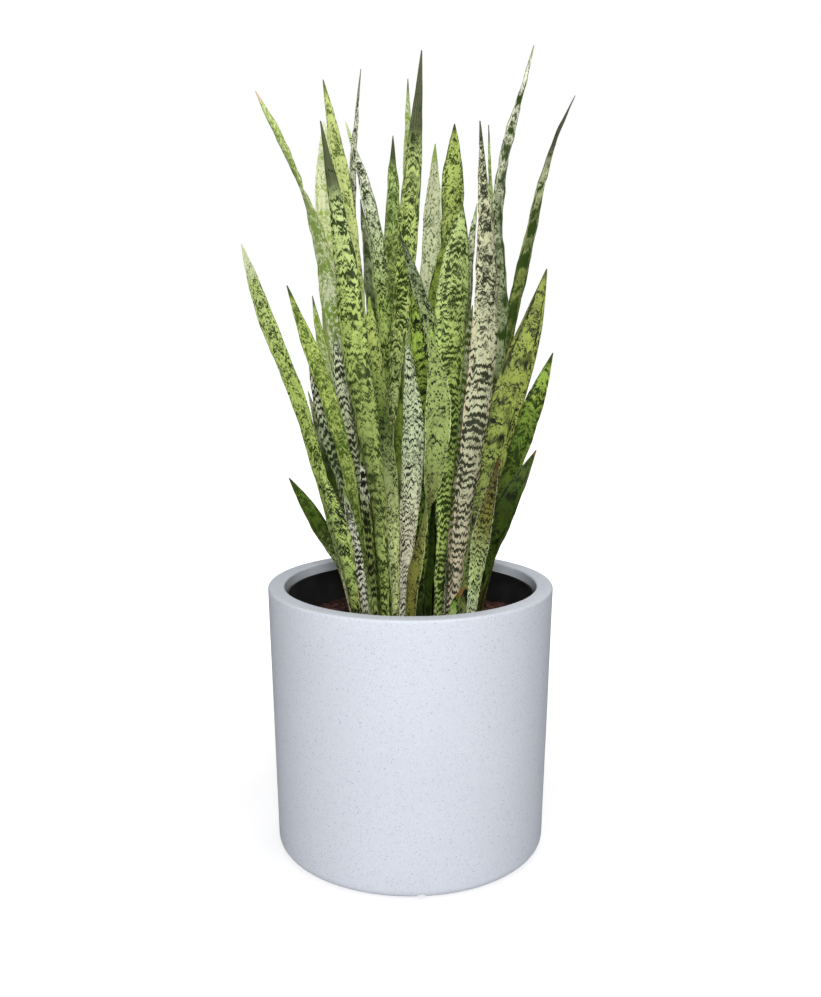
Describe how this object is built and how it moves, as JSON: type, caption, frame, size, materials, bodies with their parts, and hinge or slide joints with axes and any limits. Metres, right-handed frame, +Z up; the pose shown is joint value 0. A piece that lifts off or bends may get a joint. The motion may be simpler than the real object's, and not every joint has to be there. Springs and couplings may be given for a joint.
{
  "type": "potted snake plant",
  "caption": "Upright clump of long sword-shaped snake plant leaves with dark cross bands, standing in bark-topped potting mix in a round planter with a rolled rim.",
  "frame": {"origin": "centre of the planter's flat underside, which stands on the floor", "axes": "+Z up, along the leaves; -Y is the front, where the smallest shoot grows; +X is the right side seen from the front"},
  "size_m": [0.45, 0.4373, 1.1112],
  "materials": {
    "planter": "matt light grey with fine dark specks",
    "grow_pot": "black moulded plastic",
    "potting_mix": "dark damp peat and fine bark",
    "bark_mulch": "loose reddish brown bark chips",
    "leaf_lime": "satin yellow-green leaf with dark wavy cross bands",
    "leaf_silver": "satin silver-cream leaf with dark zigzag cross bands",
    "leaf_pale": "satin pale green leaf with fine dots and cross lines",
    "leaf_deep": "satin deep green leaf with faint lighter bands"
  },
  "bodies": {
    "root": {"planter": "planter", "grow_pot": "grow_pot", "potting_mix": "potting_mix", "bark_mulch": "bark_mulch", "leaf_01": "leaf_lime", "leaf_02": "leaf_pale", "leaf_03": "leaf_lime", "leaf_04": "leaf_lime", "leaf_05": "leaf_deep", "leaf_06": "leaf_pale", "leaf_07": "leaf_deep", "leaf_08": "leaf_lime", "leaf_09": "leaf_lime", "leaf_10": "leaf_lime", "leaf_11": "leaf_silver", "leaf_12": "leaf_lime", "leaf_13": "leaf_pale", "leaf_14": "leaf_silver", "leaf_15": "leaf_pale", "leaf_16": "leaf_silver", "leaf_17": "leaf_silver", "leaf_18": "leaf_lime", "leaf_19": "leaf_lime", "leaf_20": "leaf_deep", "leaf_21": "leaf_deep", "leaf_22": "leaf_lime", "leaf_23": "leaf_silver", "leaf_24": "leaf_silver", "leaf_25": "leaf_silver", "leaf_26": "leaf_deep", "leaf_27": "leaf_deep", "leaf_28": "leaf_deep", "leaf_29": "leaf_lime", "leaf_30": "leaf_pale", "leaf_31": "leaf_lime", "leaf_32": "leaf_deep", "leaf_33": "leaf_deep", "leaf_34": "leaf_silver", "leaf_35": "leaf_deep", "leaf_36": "leaf_deep", "leaf_37": "leaf_deep", "leaf_38": "leaf_lime", "leaf_39": "leaf_lime", "leaf_40": "leaf_deep", "leaf_41": "leaf_silver", "leaf_42": "leaf_lime", "leaf_43": "leaf_silver", "leaf_44": "leaf_deep", "leaf_45": "leaf_lime", "leaf_46": "leaf_silver", "leaf_47": "leaf_deep", "leaf_48": "leaf_lime", "leaf_49": "leaf_pale", "leaf_50": "leaf_deep", "leaf_51": "leaf_lime", "leaf_52": "leaf_silver", "leaf_53": "leaf_deep", "leaf_54": "leaf_lime", "leaf_55": "leaf_deep"}
  },
  "joints": []
}
